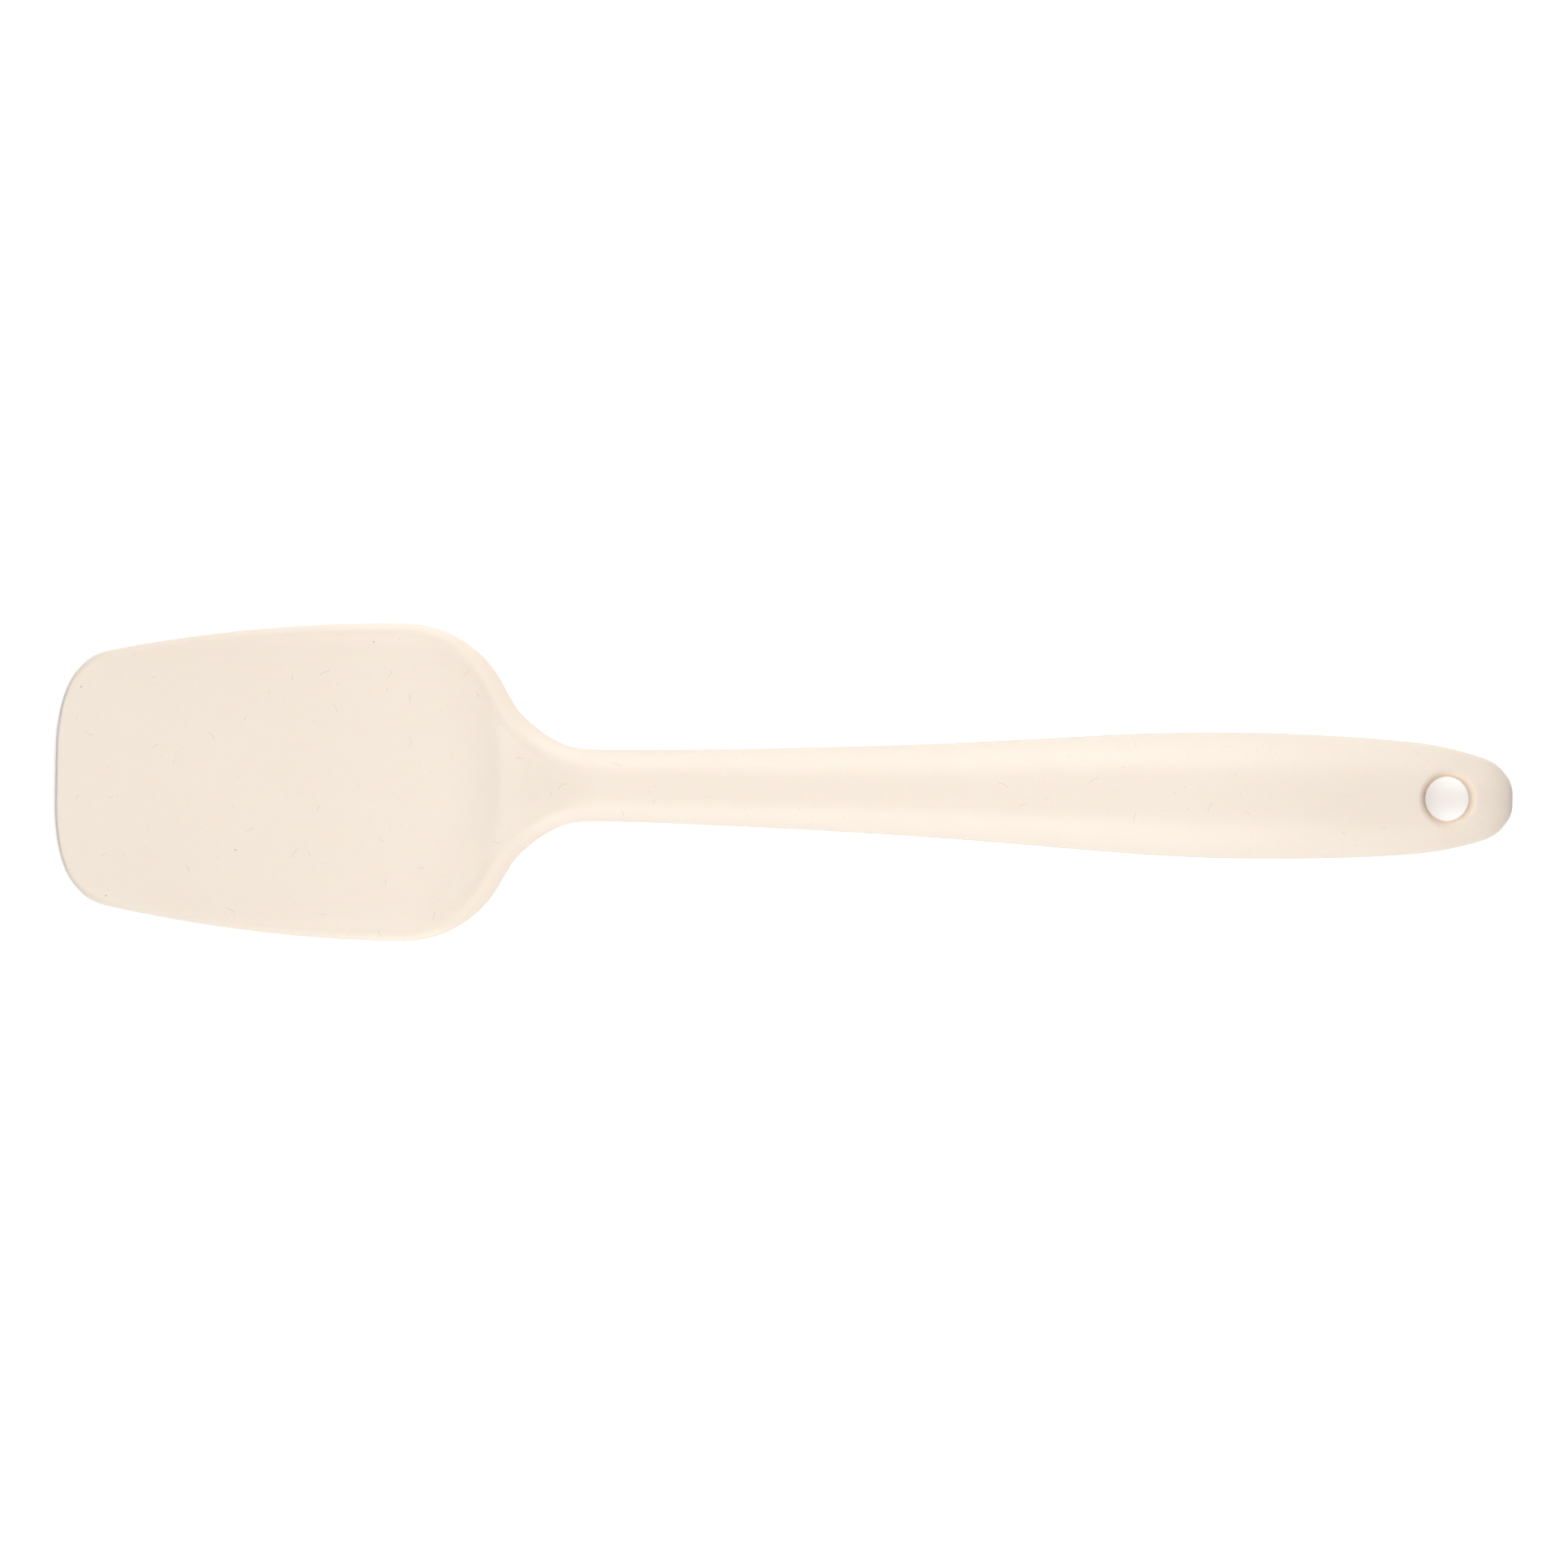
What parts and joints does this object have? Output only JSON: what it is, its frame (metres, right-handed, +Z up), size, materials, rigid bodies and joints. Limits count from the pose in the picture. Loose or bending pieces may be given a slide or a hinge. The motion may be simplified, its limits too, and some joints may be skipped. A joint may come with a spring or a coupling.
{
  "type": "silicone spatula",
  "caption": "Spoon-shaped silicone spatula with a broad shallow blade, narrow neck and swelling oval handle with a hanging hole, moulded over a stiff core.",
  "frame": {"origin": "on the table under the middle of the spatula, which lies with its scoop up", "axes": "+X from the blade's tip towards the hanging hole, +Z up out of the scoop"},
  "size_m": [0.275, 0.06, 0.0128],
  "materials": {
    "silicone": "satin cream silicone, slightly translucent",
    "core_nylon": "as-moulded glass-filled nylon"
  },
  "bodies": {
    "root": {"silicone_skin": "silicone", "stiffening_core": "core_nylon"}
  },
  "joints": []
}
